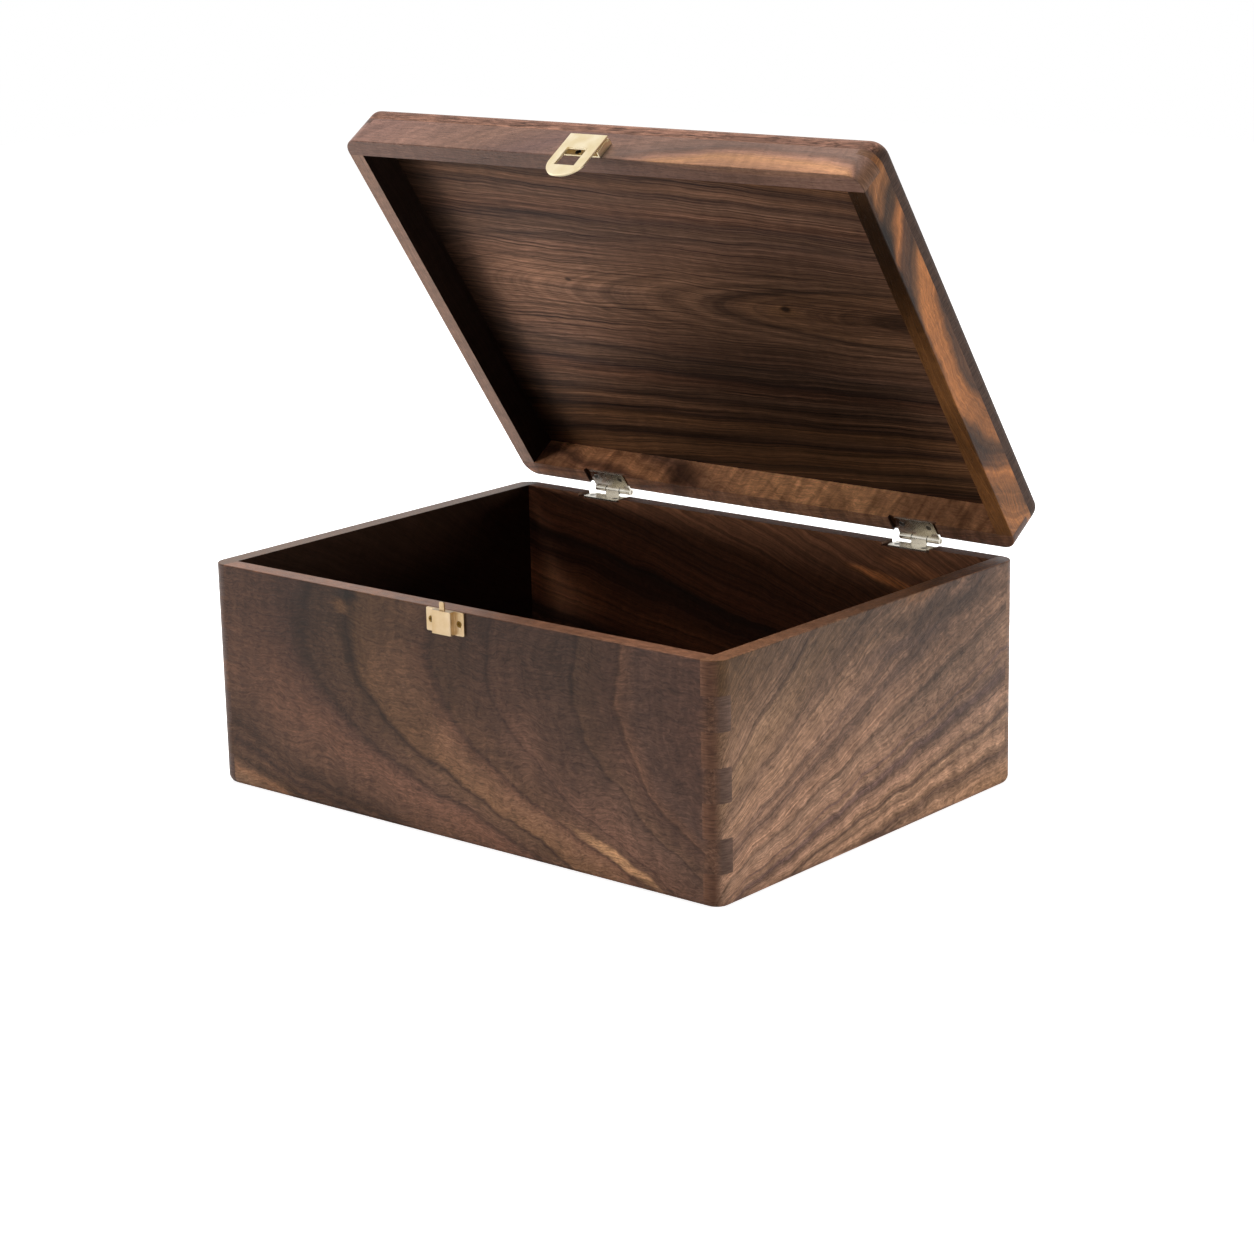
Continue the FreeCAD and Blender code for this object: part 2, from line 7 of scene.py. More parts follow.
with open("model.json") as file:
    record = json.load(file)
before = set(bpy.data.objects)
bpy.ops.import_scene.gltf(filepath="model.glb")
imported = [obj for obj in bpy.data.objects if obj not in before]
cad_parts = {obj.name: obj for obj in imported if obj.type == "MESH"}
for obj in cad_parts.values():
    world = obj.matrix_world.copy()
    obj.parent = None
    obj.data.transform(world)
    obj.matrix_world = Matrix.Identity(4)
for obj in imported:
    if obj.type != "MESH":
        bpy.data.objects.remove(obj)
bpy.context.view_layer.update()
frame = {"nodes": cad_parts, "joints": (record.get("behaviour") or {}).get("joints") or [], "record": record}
print("frame loaded:", len(frame["nodes"]), "nodes")


def linear(hexColour):  # sRGB hex to linear
    parts = [int(hexColour[i:i + 2], 16) / 255 for i in (1, 3, 5)]
    return [c / 12.92 if c <= 0.04045 else ((c + 0.055) / 1.055) ** 2.4 for c in parts] + [1.0]


def add(tree, kind, values=None, links=None, **settings):
    node = tree.nodes.new("ShaderNode" + kind)
    for name, value in settings.items():
        setattr(node, name, value)
    for socket, value in (values or {}).items():
        node.inputs[socket].default_value = value
    for socket, source in (links or {}).items():
        tree.links.new(getattr(source, "outputs", [source])[0], node.inputs[socket])
    return node


def fillRamp(ramp, stops):  # stops are (place from 0 to 1, hex)
    while len(ramp.elements) < len(stops):
        ramp.elements.new(1.0)
    for element, (place, colour) in zip(ramp.elements, stops):
        element.position = place
        element.color = linear(colour)


# camera: fitted to the box's outside edges in the photo, millimetres and degrees
cameraFit = {
    "turn": 40.333,
    "height": 14.795,
    "roll": -1.231,
    "focalPixels": 3066.921,
    "imagePixels": 1254,
    "sensor": 36,
    "shift": (-6.225, -82.075, 1631.293),
}


def makeCamera(fit):
    turn, height, roll = (math.radians(fit[key]) for key in ("turn", "height", "roll"))
    back = Vector((math.sin(turn) * math.cos(height), -math.cos(turn) * math.cos(height), math.sin(height)))
    across = Vector((math.cos(turn), math.sin(turn), 0))
    upward = back.cross(across)
    right = math.cos(roll) * across + math.sin(roll) * upward
    up = -math.sin(roll) * across + math.cos(roll) * upward
    sideways, rise, distance = fit["shift"]
    place = (-sideways * right - rise * up + distance * back) / 1000
    camera = bpy.data.cameras.new("camera")
    camera.sensor_width = fit["sensor"]
    camera.lens = fit["focalPixels"] / fit["imagePixels"] * fit["sensor"]
    holder = bpy.data.objects.new("camera", camera)
    holder.matrix_world = Matrix((right, up, back)).transposed().to_4x4()
    holder.matrix_world.translation = place
    bpy.context.scene.collection.objects.link(holder)
    bpy.context.scene.camera = holder


makeCamera(cameraFit)
print("camera set")

# lid boards are drawn open, so their patterns are turned back to the closed lid
lidJoint = next(joint for joint in frame["joints"] if joint["name"] == "lid_hinge")
lidTurn = math.radians(-lidJoint["range_deg"][0])
lidAxis = Vector(lidJoint["pos_m"]) * 1000

# oiled black walnut, planed and sanded: satin, brown to near black growth rings, fine open pores
walnutFinish = {
    "streak": (46, 0.9, 0.76, 1.24),  # length, width, mm; darkest, lightest
    "curl": (5, 16, 0.88, 1.12),
    "fleck": (4, 1.3, 0.86, 1.14),
    "line": (4.0, 0.9, 1.1),          # fine growth rings: width, mm; darkest, lightest
    "pore": (7, 0.5, 0.64),           # pores are 0.2 mm wide, drawn wider so that they show
    "end": (6, 0.8, 0.6, 1.4),
    "roughness": (0.28, 0.44),
    "gloss": 0.15,
    "rimAmount": 0.7,
    "paintedInsideShading": 1.0,                     # painted light and shade on the faces that look into the box: below 1 darker, above 1 lighter
    "bumpHeight": 0.00012,            # metres
}


def walnut(name, board):
    material = bpy.data.materials.new(name)
    material.use_nodes = True
    tree = material.node_tree
    shader = tree.nodes["Principled BSDF"]
    look = {**walnutFinish, **board}
    shader.inputs["Specular IOR Level"].default_value = look["gloss"]
    coords = add(tree, "TexCoord")
    turn = lidTurn if board.get("lid") else 0
    offset = lidAxis - Matrix.Rotation(turn, 3, "X") @ lidAxis
    place = add(tree, "Mapping", {"Location": offset, "Rotation": (turn, 0, 0), "Scale": (1000, 1000, 1000)},
                {"Vector": coords.outputs["Object"]})
    normal = add(tree, "Mapping", {"Rotation": (turn, 0, 0)}, {"Vector": coords.outputs["Normal"]},
                 vector_type="NORMAL")
    axes = add(tree, "SeparateXYZ", links={0: place})
    along, up, deep = (axes.outputs[key] for key in board["axes"])
    depth = add(tree, "Math", {1: board["face"]}, {0: deep}, operation="SUBTRACT")

    # the figure wanders a little everywhere
    wanderMm, wanderSize = board["wander"]
    wander = add(tree, "TexNoise", {"Scale": 1 / wanderSize, "Detail": 3.0}, {"Vector": place})
    centred = add(tree, "VectorMath", {1: (0.5, 0.5, 0.5)}, {0: wander.outputs["Color"]}, operation="SUBTRACT")
    shift = add(tree, "VectorMath", {"Scale": wanderMm * 2}, {0: centred}, operation="SCALE")
    flat = add(tree, "CombineXYZ", links={0: along, 1: up})
    spot = add(tree, "VectorMath", links={0: flat, 1: shift}, operation="ADD")

    # ring: where a point lies on the growth rings
    centre = add(tree, "VectorMath", {1: (*board["centre"], 0)}, {0: spot}, operation="SUBTRACT")
    arm = add(tree, "VectorMath", {1: (*board["squash"], 0)}, {0: centre}, operation="MULTIPLY")
    armAxes = add(tree, "SeparateXYZ", links={0: arm})
    across, rise = armAxes.outputs[0], armAxes.outputs[1]
    fibreAlong, fibreAcross = across, rise
    if board["flow"] == "sweep":
        low, high = board["span"]
        fraction = add(tree, "MapRange", {1: low, 2: high}, {0: rise})
        curve = add(tree, "FloatCurve", links={1: fraction})
        points = curve.mapping.curves[0].points
        for i, (height, reach) in enumerate(board["curve"]):
            onCurve = ((height - low) / (high - low), reach / board["reach"])
            if i < 2:
                points[i].location = onCurve
            else:
                points.new(*onCurve)
        curve.mapping.update()
        near, far, easing = board["easing"]
        ease = add(tree, "MapRange", {1: near, 2: far, 3: board["reach"], 4: board["reach"] * easing}, {0: across})
        bend = add(tree, "Math", links={0: curve, 1: ease}, operation="MULTIPLY")
        ring = add(tree, "Math", links={0: across, 1: bend}, operation="SUBTRACT")
    elif board["flow"] == "fan":
        angle = add(tree, "Math", links={0: rise, 1: across}, operation="ARCTAN2")
        ring = add(tree, "Math", {1: board["arm"]}, {0: angle}, operation="MULTIPLY")
        fibreAlong = add(tree, "VectorMath", links={0: arm}, operation="LENGTH").outputs["Value"]
        fibreAcross = ring
    else:
        widen = add(tree, "Math", {1: board.get("widen", 0), 2: 1.0}, {0: across}, operation="MULTIPLY_ADD")
        opened = add(tree, "Math", links={0: rise, 1: widen}, operation="MULTIPLY")
        oval = add(tree, "CombineXYZ", links={0: across, 1: opened})
        ring = add(tree, "VectorMath", links={0: oval}, operation="LENGTH").outputs["Value"]
        fibreAlong, fibreAcross = along, opened
    leaning = add(tree, "Math", {1: board["lean"]}, {0: depth, 2: ring}, operation="MULTIPLY_ADD")
    first, last = board["rings"][0][0], board["rings"][-1][0]
    ringPlace = add(tree, "MapRange", {1: first, 2: last}, {0: leaning})
    ringRamp = add(tree, "ValToRGB", links={0: ringPlace})
    fillRamp(ringRamp.color_ramp, [((s - first) / (last - first), shade) for s, shade in board["rings"]])

    # fibre streaks, ripples, flecks and pores, all stretched along the grain
    fibreSpot = add(tree, "CombineXYZ", links={0: fibreAlong, 1: fibreAcross, 2: depth})
    grain = {}
    for key, detail, twist in (("streak", 4.0, 0.0), ("curl", 3.0, 0.4), ("fleck", 2.0, 1.4), ("pore", 1.0, 0.0)):
        length, width = look[key][:2]
        grid = add(tree, "VectorMath", {1: (length, width, width)}, {0: fibreSpot}, operation="DIVIDE")
        grain[key] = add(tree, "TexNoise", {"Scale": 1.0, "Detail": detail, "Roughness": 0.6, "Distortion": twist},
                         {"Vector": grid})
    ringLine = add(tree, "Math", {1: look["line"][0]}, {0: leaning}, operation="DIVIDE")
    grain["line"] = add(tree, "TexNoise", {"Scale": 1.0, "Detail": 4.0, "Roughness": 0.65}, {"W": ringLine},
                        noise_dimensions="1D")
    pores = add(tree, "MapRange", {1: 0.60, 2: 0.72}, {0: grain["pore"]})
    broken = add(tree, "MapRange", {1: 0.3, 2: 0.6, 3: 0.55, 4: 1.0}, {0: grain["streak"]})

    # rims get a colour of their own: partly the sanded edge's tone, partly painted light
    normalAxes = add(tree, "SeparateXYZ", links={0: normal})
    upright = add(tree, "Math", links={0: normalAxes.outputs[board["axes"][1]]}, operation="ABSOLUTE")
    rimMask = add(tree, "MapRange", {1: 0.6, 2: 0.9, 4: look["rimAmount"]}, {0: upright})

    def intoOval(u, v, long, wide, angle):  # 0 in the middle of an oval, 1 on its edge
        local = add(tree, "Mapping", {"Location": (u, v, 0), "Rotation": (0, 0, math.radians(angle)),
                                      "Scale": (long, wide, 1000)}, {"Vector": spot}, vector_type="TEXTURE")
        return add(tree, "VectorMath", links={0: local}, operation="LENGTH").outputs["Value"]

    colour = ringRamp.outputs[0]
    for *oval, shade, strength in board.get("patches", []):
        mask = add(tree, "MapRange", {1: 0.3, 2: 1.0, 3: strength, 4: 0.0}, {0: intoOval(*oval)},
                   interpolation_type="SMOOTHSTEP")
        amount = add(tree, "Math", links={0: mask, 1: broken}, operation="MULTIPLY")
        colour = add(tree, "Mix", {7: linear(shade)}, {0: amount, 6: colour}, data_type="RGBA").outputs[2]
    colour = add(tree, "Mix", {7: linear(board["rimColour"])}, {0: rimMask, 6: colour}, data_type="RGBA").outputs[2]
    toneAndPaintedShading = [add(tree, "MapRange", {1: 0.3, 2: 0.7, 3: look[key][-2], 4: look[key][-1]}, {0: grain[key]})
              for key in ("streak", "curl", "fleck", "line")]
    toneAndPaintedShading.append(add(tree, "MapRange", {3: 1.0, 4: look["pore"][2]}, {0: pores}))
    # faces that look into the box get painted shade or painted light
    inward = add(tree, "Math", {1: -math.copysign(1, board["face"])}, {0: normalAxes.outputs[board["axes"][2]]},
                 operation="MULTIPLY")
    toneAndPaintedShading.append(add(tree, "MapRange", {1: 0.5, 2: 0.9, 3: 1.0, 4: look["paintedInsideShading"]}, {0: inward}))
    # soft ovals multiply the colour: on the faces they are partly wood tone, partly painted light and shade; on the
    # rims they are painted light and shade, on the inside faces painted shadow
    for key, mask, low, high in (("toneAndPaintedShading", None, 0, 1), ("rimPaintedShading", rimMask, 0, look["rimAmount"]),
                                 ("paintedInnerShadows", inward, 0.5, 0.9)):
        for *oval, gain in board.get(key, []):
            soft = add(tree, "MapRange", {1: 0.2, 2: 1.0, 3: gain, 4: 1.0}, {0: intoOval(*oval)},
                       interpolation_type="SMOOTHSTEP")
            if mask:
                soft = add(tree, "MapRange", {1: low, 2: high, 3: 1.0}, {0: mask, 4: soft})
            toneAndPaintedShading.append(soft)
    for shade in toneAndPaintedShading:
        colour = add(tree, "Mix", {0: 1.0}, {6: colour, 7: shade}, data_type="RGBA",
                     blend_type="MULTIPLY").outputs[2]

    # end grain where the board's end shows
    facing = add(tree, "Math", links={0: normalAxes.outputs[board["axes"][0]]}, operation="ABSOLUTE")
    endMask = add(tree, "MapRange", {1: 0.55, 2: 0.85}, {0: facing})
    longMm, fineMm, darkest, lightest = look["end"]
    endGrid = add(tree, "VectorMath", {1: [fineMm if key == board["axes"][1] else longMm for key in "XYZ"]},
                  {0: place}, operation="DIVIDE")
    endNoise = add(tree, "TexNoise", {"Scale": 1.0, "Detail": 3.0}, {"Vector": endGrid})
    endShade = add(tree, "MapRange", {1: 0.3, 2: 0.7, 3: darkest, 4: lightest}, {0: endNoise})
    endColour = add(tree, "Mix", {0: 1.0, 6: linear(board["endColour"])}, {7: endShade}, data_type="RGBA",
                    blend_type="MULTIPLY")
    colour = add(tree, "Mix", links={0: endMask, 6: colour, 7: endColour.outputs[2]}, data_type="RGBA").outputs[2]
    tree.links.new(colour, shader.inputs["Base Color"])

    low, high = look["roughness"]
    roughness = add(tree, "MapRange", {1: 0.3, 2: 0.7, 3: low, 4: high}, {0: grain["streak"]})
    tree.links.new(roughness.outputs[0], shader.inputs["Roughness"])
    relief = add(tree, "Math", {1: -0.8}, {0: pores, 2: grain["streak"]}, operation="MULTIPLY_ADD")
    bump = add(tree, "Bump", {"Strength": 0.5, "Distance": look["bumpHeight"]}, {"Height": relief})
    tree.links.new(bump.outputs[0], shader.inputs["Normal"])
    return material


def dress(node, material):
    mesh = frame["nodes"][node].data
    mesh.materials.clear()
    mesh.materials.append(material)


# front board: broad figure that falls steeply from the rim and sweeps out to the right
frontBoard = {
    "axes": "XZY", "face": -125, "lean": 7, "flow": "sweep", "centre": (0, 0), "squash": (1, 1),
    "span": (0, 121), "reach": 220, "easing": (0, 170, 0.55),
    "curve": ((0, 205), (121, 7), (10, 160), (20, 118), (30, 84), (40, 57), (50, 37), (60, 22), (75, 7), (90, 0),
              (105, 2)),
    "wander": (7, 28), "line": (4.0, 0.9, 1.1), "curl": (6, 14, 0.8, 1.2), "fleck": (4.5, 1.6, 0.64, 1.42),
    "streak": (46, 1.3, 0.74, 1.26),
    "rings": ((-330, "#654733"), (-312, "#75523a"), (-301, "#543b2b"), (-290, "#3a281c"), (-275, "#4d3527"),
              (-262, "#37251c"), (-246, "#4d3527"), (-238, "#3a271c"), (-200, "#51382a"),
              (-132, "#563a2c"), (-113, "#4a3227"), (-104, "#33231a"), (-99, "#442f23"), (-78, "#4a3426"),
              (-70, "#2f2017"), (-64, "#573d2a"), (-30, "#5a3f2e"), (-18, "#513729"), (-13, "#37251c"),
              (-9, "#4b3426"), (23, "#473126"), (26, "#34231b"), (28, "#4d3529"), (77, "#443026"),
              (80, "#34241c"), (82, "#4b3528"), (105, "#452f25"), (107, "#37251c"), (109, "#5a3e2f"),
              (120, "#4b352b"), (170, "#4a3228")),
    "patches": ((108, 12, 38, 3.8, -22, "#8c6849", 0.9), (-158, 5, 26, 7, -8, "#7a5d45", 0.6),
                (-72, 109, 9, 5, 0, "#6e4d33", 0.7), (-68, 116, 12, 5, 0, "#221a16", 0.8),
                (169, 62, 10, 130, 0, "#6e4d3a", 0.9)),
    # ovals: wood tone, plus painted light, darker towards the top and lighter towards the bottom
    "toneAndPaintedShading": ((-20, 30, 130, 24, -9, 1.2), (-38, 82, 30, 26, 20, 1.2), (0, 57, 14, 20, -30, 1.4),
               (48, 60, 20, 16, -35, 1.35), (120, 58, 28, 24, -40, 1.3), (115, 34, 50, 18, -22, 1.3),
               (115, 103, 80, 30, -6, 0.95), (-148, 42, 26, 26, 0, 0.75), (-40, 124, 200, 52, 0, 0.66),
               (70, 8, 190, 66, -8, 1.5), (5, 88, 22, 28, 0, 0.85), (60, 110, 60, 40, 0, 0.85),
               (-130, 100, 80, 52, 0, 0.66), (115, 10, 90, 34, -10, 1.25), (-60, 8, 70, 26, -6, 0.85),
               (-45, 72, 64, 60, 0, 0.86)),
    # painted sheen: the left half of the rim is lighter
    "rimPaintedShading": ((-130, 121, 110, 60, 0, 1.6),),
    "rimColour": "#6b4936", "endColour": "#544036",
}
dress("front_board", walnut("walnutFront", frontBoard))

# right board: lighter streaks that fan out from beyond its lower front corner
rightBoard = {
    "axes": "YZX", "face": 170, "lean": -4, "flow": "fan", "centre": (-232, -28), "squash": (1, 1), "arm": 250,
    "wander": (5, 30), "line": (2.6, 0.72, 1.28), "curl": (7, 14, 0.76, 1.24), "fleck": (5, 1.8, 0.62, 1.42),
    "streak": (40, 1.3, 0.7, 1.3),
    "rings": ((19, "#6f543c"), (28, "#83644e"), (33, "#6a5242"), (35.4, "#413129"), (37.5, "#7c5f4b"),
              (42, "#856651"), (44.5, "#6a5141"), (46.5, "#80634e"), (49.5, "#44332b"), (52, "#775b48"),
              (57, "#846552"), (61, "#594438"), (64, "#513e38"), (68, "#7e614e"), (70.5, "#6e5342"), (71.5, "#513e38"),
              (73, "#7e604d"), (82, "#806350"), (86, "#695142"), (92, "#896853"), (98, "#7d5f4c"), (106, "#5e483c"),
              (112, "#785b49"), (116.5, "#5e483c"), (118, "#7e604d"), (130, "#886852"), (142, "#6a5141"),
              (156, "#775b46"), (168, "#7b5f4a"), (171, "#5a4436"), (174, "#785c49"), (226, "#5b422c")),
    "patches": ((35, 119, 26, 4, 0, "#8a5f3f", 0.6), (60, 108, 90, 9, 1, "#46352b", 0.7),
                (20, 97, 60, 5, 2, "#54413a", 0.5)),
    # ovals: wood tone, plus painted light, darker towards the top and lighter towards the bottom
    "toneAndPaintedShading": ((10, 126, 240, 64, 0, 0.45), (66, 74, 76, 40, 10, 0.62), (0, -6, 270, 70, 0, 1.45),
               (-95, 60, 50, 40, 35, 1.1)),
    # painted light on the rear half of the rim, which lies in the lid's shadow
    "rimPaintedShading": ((85, 121, 95, 60, 0, 2.4),),
    "rimColour": "#845b44", "endColour": "#664533",
}
dress("right_board", walnut("walnutRight", rightBoard))

# left board: quiet, darker, nearly straight figure
leftBoard = {
    "axes": "YZX", "face": -170, "lean": 4, "flow": "fan", "centre": (260, -40), "squash": (-1, 1), "arm": 260,
    # painted shade: the inside face is darker
    "wander": (6, 40), "line": (4.0, 0.85, 1.14), "paintedInsideShading": 0.4,
    "rings": ((20, "#422f24"), (45, "#51392a"), (58, "#2d2019"), (70, "#4b3528"), (95, "#553d2c"), (104, "#2f2219"),
              (118, "#493528"), (150, "#3d2a20"), (190, "#4e3629")),
    "rimColour": "#513d2f", "endColour": "#45322a",
}
dress("left_board", walnut("walnutLeft", leftBoard))

# back board: long dark streaks that fall slowly from left to right
backBoard = {
    "axes": "XZY", "face": 125, "lean": -5, "flow": "fan", "centre": (420, -30), "squash": (-1, 1), "arm": 420,
    "wander": (5, 40), "line": (4.0, 0.62, 1.36), "streak": (60, 1.2, 0.66, 1.34), "roughness": (0.5, 0.65),
    # painted light: the inside face is lighter
    "paintedInsideShading": 2.2,
    "rings": ((20, "#503425"), (38, "#5f3e2b"), (46, "#2a1b14"), (52, "#583a28"), (66, "#62402c"), (72, "#261811"),
              (79, "#221610"), (84, "#573926"), (96, "#67432e"), (101, "#332218"), (108, "#21150f"), (113, "#5a3a28"),
              (124, "#613f2b"), (132, "#3c261b"), (142, "#20140e"), (148, "#5b3a29"), (160, "#4a2f21"), (175, "#503424")),
    "patches": ((92, 100, 34, 3.5, -12, "#965f39", 0.8), (112, 108, 30, 6, -8, "#774c31", 0.6)),
    # painted light on the left part of the board
    "toneAndPaintedShading": ((-150, 60, 70, 90, 0, 1.7),),
    "rimColour": "#7e533d", "endColour": "#6d5546",
}
dress("back_board", walnut("walnutBack", backBoard))

# bottom panel: plain straight grain
bottomPanel = {
    "axes": "XYZ", "face": 0, "lean": 3, "flow": "rings", "centre": (60, -260), "squash": (0.05, 1),
    "wander": (4, 60), "line": (4.0, 0.78, 1.2), "streak": (90, 1.3, 0.75, 1.25),
    "rings": ((130, "#4a372c"), (175, "#573f32"), (200, "#33261f"), (235, "#513c30"), (262, "#3a2b24"),
              (300, "#574033"), (345, "#3a2b23"), (390, "#4e392f")),
    "rimColour": "#4f3b30", "endColour": "#45322a",
}
dress("bottom_panel", walnut("walnutBottom", bottomPanel))

# lid panel: straight stripes round one pointed figure, bold near the hinges
lidPanel = {
    "axes": "XYZ", "face": 140, "lean": 5, "lid": True, "flow": "rings", "centre": (260, -11),
    "squash": (0.085, 1), "widen": 0.0085, "gloss": 0.08, "roughness": (0.42, 0.56),
    "wander": (3, 50), "line": (1.6, 0.7, 1.3), "streak": (150, 0.85, 0.15, 1.9), "curl": (9, 20, 0.9, 1.1),
    "fleck": (12, 0.8, 0.8, 1.2),
    "rings": ((6, "#3d2a1e"), (11, "#38261b"), (13.5, "#604331"), (18.5, "#664834"), (20, "#443024"), (22.5, "#5f4433"),
              (38, "#5d4233"), (42, "#49352a"), (46, "#533c2e"), (50, "#36261f"), (53, "#563a2b"), (60, "#50392b"),
              (64, "#36251c"), (67, "#513828"), (73, "#291b14"), (77, "#533825"), (83, "#3e2a1d"), (86, "#241711"),
              (89, "#4a3221"), (96, "#4c3321"), (100, "#2b1d14"), (104, "#452f1f"), (111, "#20150f"),
              (116, "#442c1d"), (126, "#573f32"), (140, "#60473c"), (160, "#563f35")),
    "patches": ((0, -70, 300, 50, 0, "#503a2f", 0.4), (-60, -12, 60, 8, 0, "#64493a", 0.45),
                (66, -11, 16, 6, 0, "#7a5639", 0.6), (68, -13, 5, 3, 0, "#120b08", 1.0),
                (-77, -20, 3.4, 2, 0, "#1a100b", 0.9)),
    # ovals: wood tone, plus painted light: lighter on the left (painted sheen) and towards the free edge, darker in the
    # middle near the hinges (painted shade)
    "toneAndPaintedShading": ((50, 38, 160, 62, 0, 0.4), (-120, 10, 90, 110, 0, 1.4), (20, -105, 240, 60, 0, 1.4),
               (20, 94, 110, 24, 0, 0.7), (155, 80, 50, 60, 0, 1.7), (92, -25, 95, 46, 0, 0.52),
               (-75, -28, 70, 44, 0, 1.3)),
    # painted shadow of the left rail on the inside of the panel
    "paintedInnerShadows": ((-170, 0, 42, 230, 0, 0.3),),
    "rimColour": "#5c4339", "endColour": "#3a2c25",
}
dress("lid_top_panel", walnut("walnutLidPanel", lidPanel))

# lid front rail: pinkish brown with an orange arch on its right half
lidFront = {
    "axes": "XZY", "face": -125, "lean": 3, "lid": True, "flow": "rings", "centre": (110, 92), "squash": (0.35, 1),
    "wander": (3, 26), "line": (3.0, 0.86, 1.14),
    "rings": ((24, "#684b3a"), (33, "#7b5841"), (37, "#866145"), (41, "#6a4d3f"), (45, "#503e36"), (52, "#61493e"),
              (62, "#543f39"), (75, "#654b3f"), (100, "#5f463d")),
    "toneAndPaintedShading": ((158, 133, 70, 34, 0, 1.4), (-70, 133, 60, 34, 0, 0.8)),
    "rimColour": "#674d41", "endColour": "#5f4433",
}
dress("lid_front_rail", walnut("walnutLidFront", lidFront))

# lid right rail: bold orange and near black swirls
lidRight = {
    "axes": "YZX", "face": 170, "lean": -3, "lid": True, "flow": "rings", "centre": (0, 175), "squash": (0.7, 1),
    # painted shade: the inside face is darker
    "wander": (6, 24), "line": (2.6, 0.72, 1.22), "streak": (30, 1.0, 0.74, 1.26), "paintedInsideShading": 0.5,
    "rings": ((33, "#412b1b"), (38, "#4f3321"), (40, "#372418"), (44, "#875530"), (54, "#965f36"), (58, "#603f27"),
              (62, "#372418"), (68, "#4d3222"), (72, "#925c35"), (77, "#412b1b"), (82, "#352418"), (88, "#7f5332"),
              (100, "#6c462b")),
    # near black at the front of the rim and along the lower edge is painted shade (dark patch, oval and rim oval)
    "patches": ((-50, 121, 110, 4, 0, "#1f130c", 0.9), (95, 130, 40, 14, 0, "#85542e", 0.6)),
    "toneAndPaintedShading": ((50, 131, 34, 24, 0, 0.6), (-95, 121, 75, 7, 0, 0.35)),
    "rimPaintedShading": ((-72, 121, 84, 60, 0, 0.3),),
    "rimColour": "#734b29", "endColour": "#5a4030",
}
dress("lid_right_rail", walnut("walnutLidRight", lidRight))

# lid left rail: straight grain
lidLeft = {
    "axes": "YZX", "face": -170, "lean": 4, "lid": True, "flow": "rings", "centre": (0, 20), "squash": (0.08, 1),
    # painted shade: the inside face is darker
    "wander": (4, 30), "line": (3.0, 0.82, 1.15), "paintedInsideShading": 0.22,
    "rings": ((90, "#543d32"), (104, "#644a3c"), (110, "#3b2c24"), (117, "#5f463a"), (130, "#49372e"),
              (150, "#5d453a")),
    "rimColour": "#8a6a58", "endColour": "#45322a",
}
dress("lid_left_rail", walnut("walnutLidLeft", lidLeft))

# lid back rail: mottled warm brown with upright ripples
lidBack = {
    "axes": "XZY", "face": 115, "lean": 3, "lid": True, "flow": "rings", "centre": (-170, 60), "squash": (0.5, 1),
    "wander": (9, 24), "line": (5.0, 0.78, 1.2), "curl": (5, 26, 0.62, 1.4), "fleck": (5, 2, 0.8, 1.2),
    "rings": ((60, "#9f6d4c"), (72, "#754f3b"), (80, "#b77e57"), (92, "#674838"), (102, "#bb845f"),
              (140, "#c89066"), (180, "#996a4b"), (230, "#7c5540")),
    "patches": ((25, 131, 55, 16, 0, "#d4986a", 0.6), (-52, 131, 18, 12, 25, "#3a251b", 0.8),
                (110, 131, 45, 14, 0, "#764f39", 0.5)),
    "rimColour": "#593c2e", "endColour": "#4a352b",
}
dress("lid_back_rail", walnut("walnutLidBack", lidBack))
print("walnut on 10 boards")

# pressed brass, satin polished and lacquered: pale warm metal with fine upright brush lines
brassFinish = {"colour": "#fbeccb", "dark": "#ecd8ab", "brush": (0.22, 8), "roughness": (0.34, 0.48), "bump": 0.15}
# the keeper is the same brass with less lacquer, so it is darker and more golden
keeperFinish = {"colour": "#cab393", "dark": "#ba9e76", "brush": (0.22, 8), "roughness": (0.3, 0.42), "bump": 0.15}
# nickel plated steel, polished: warm grey, bright barrels, faint rubbing marks
nickelFinish = {"colour": "#e2dccf", "dark": "#cbc4b6", "brush": (2, 2), "roughness": (0.2, 0.23), "bump": 0.0,
                "seams": (106.6, 5.0, 0.5), "greaseAndSeamShadow": "#2a2622"}  # hinge and seam places along X, line width, mm; the dark seam lines are partly grease, partly painted shadow
# nickel plated wood screws, darker than the leaves: painted shade of their slots and recesses
hingeScrewFinish = {"colour": "#8d877c", "dark": "#4a463f", "brush": (0.4, 0.4), "roughness": (0.3, 0.45),
                    "bump": 0.1}
# brass wood screws, darker and duller than the plate they hold: the darker colour is painted shade of their
# countersinks and slots
screwFinish = {"colour": "#8f7038", "dark": "#6a5026", "brush": (0.4, 0.4), "roughness": (0.38, 0.5), "bump": 0.1}
# near black screws of the hasp: painted shadow of the dark hole they sit in
holeShadowFinish = {"colour": "#1c1916", "dark": "#0f0d0c", "brush": (0.4, 0.4), "roughness": (0.35, 0.55), "bump": 0.1}
metalEdge = 0.00025  # metres of rounding that shows on the pressed edges


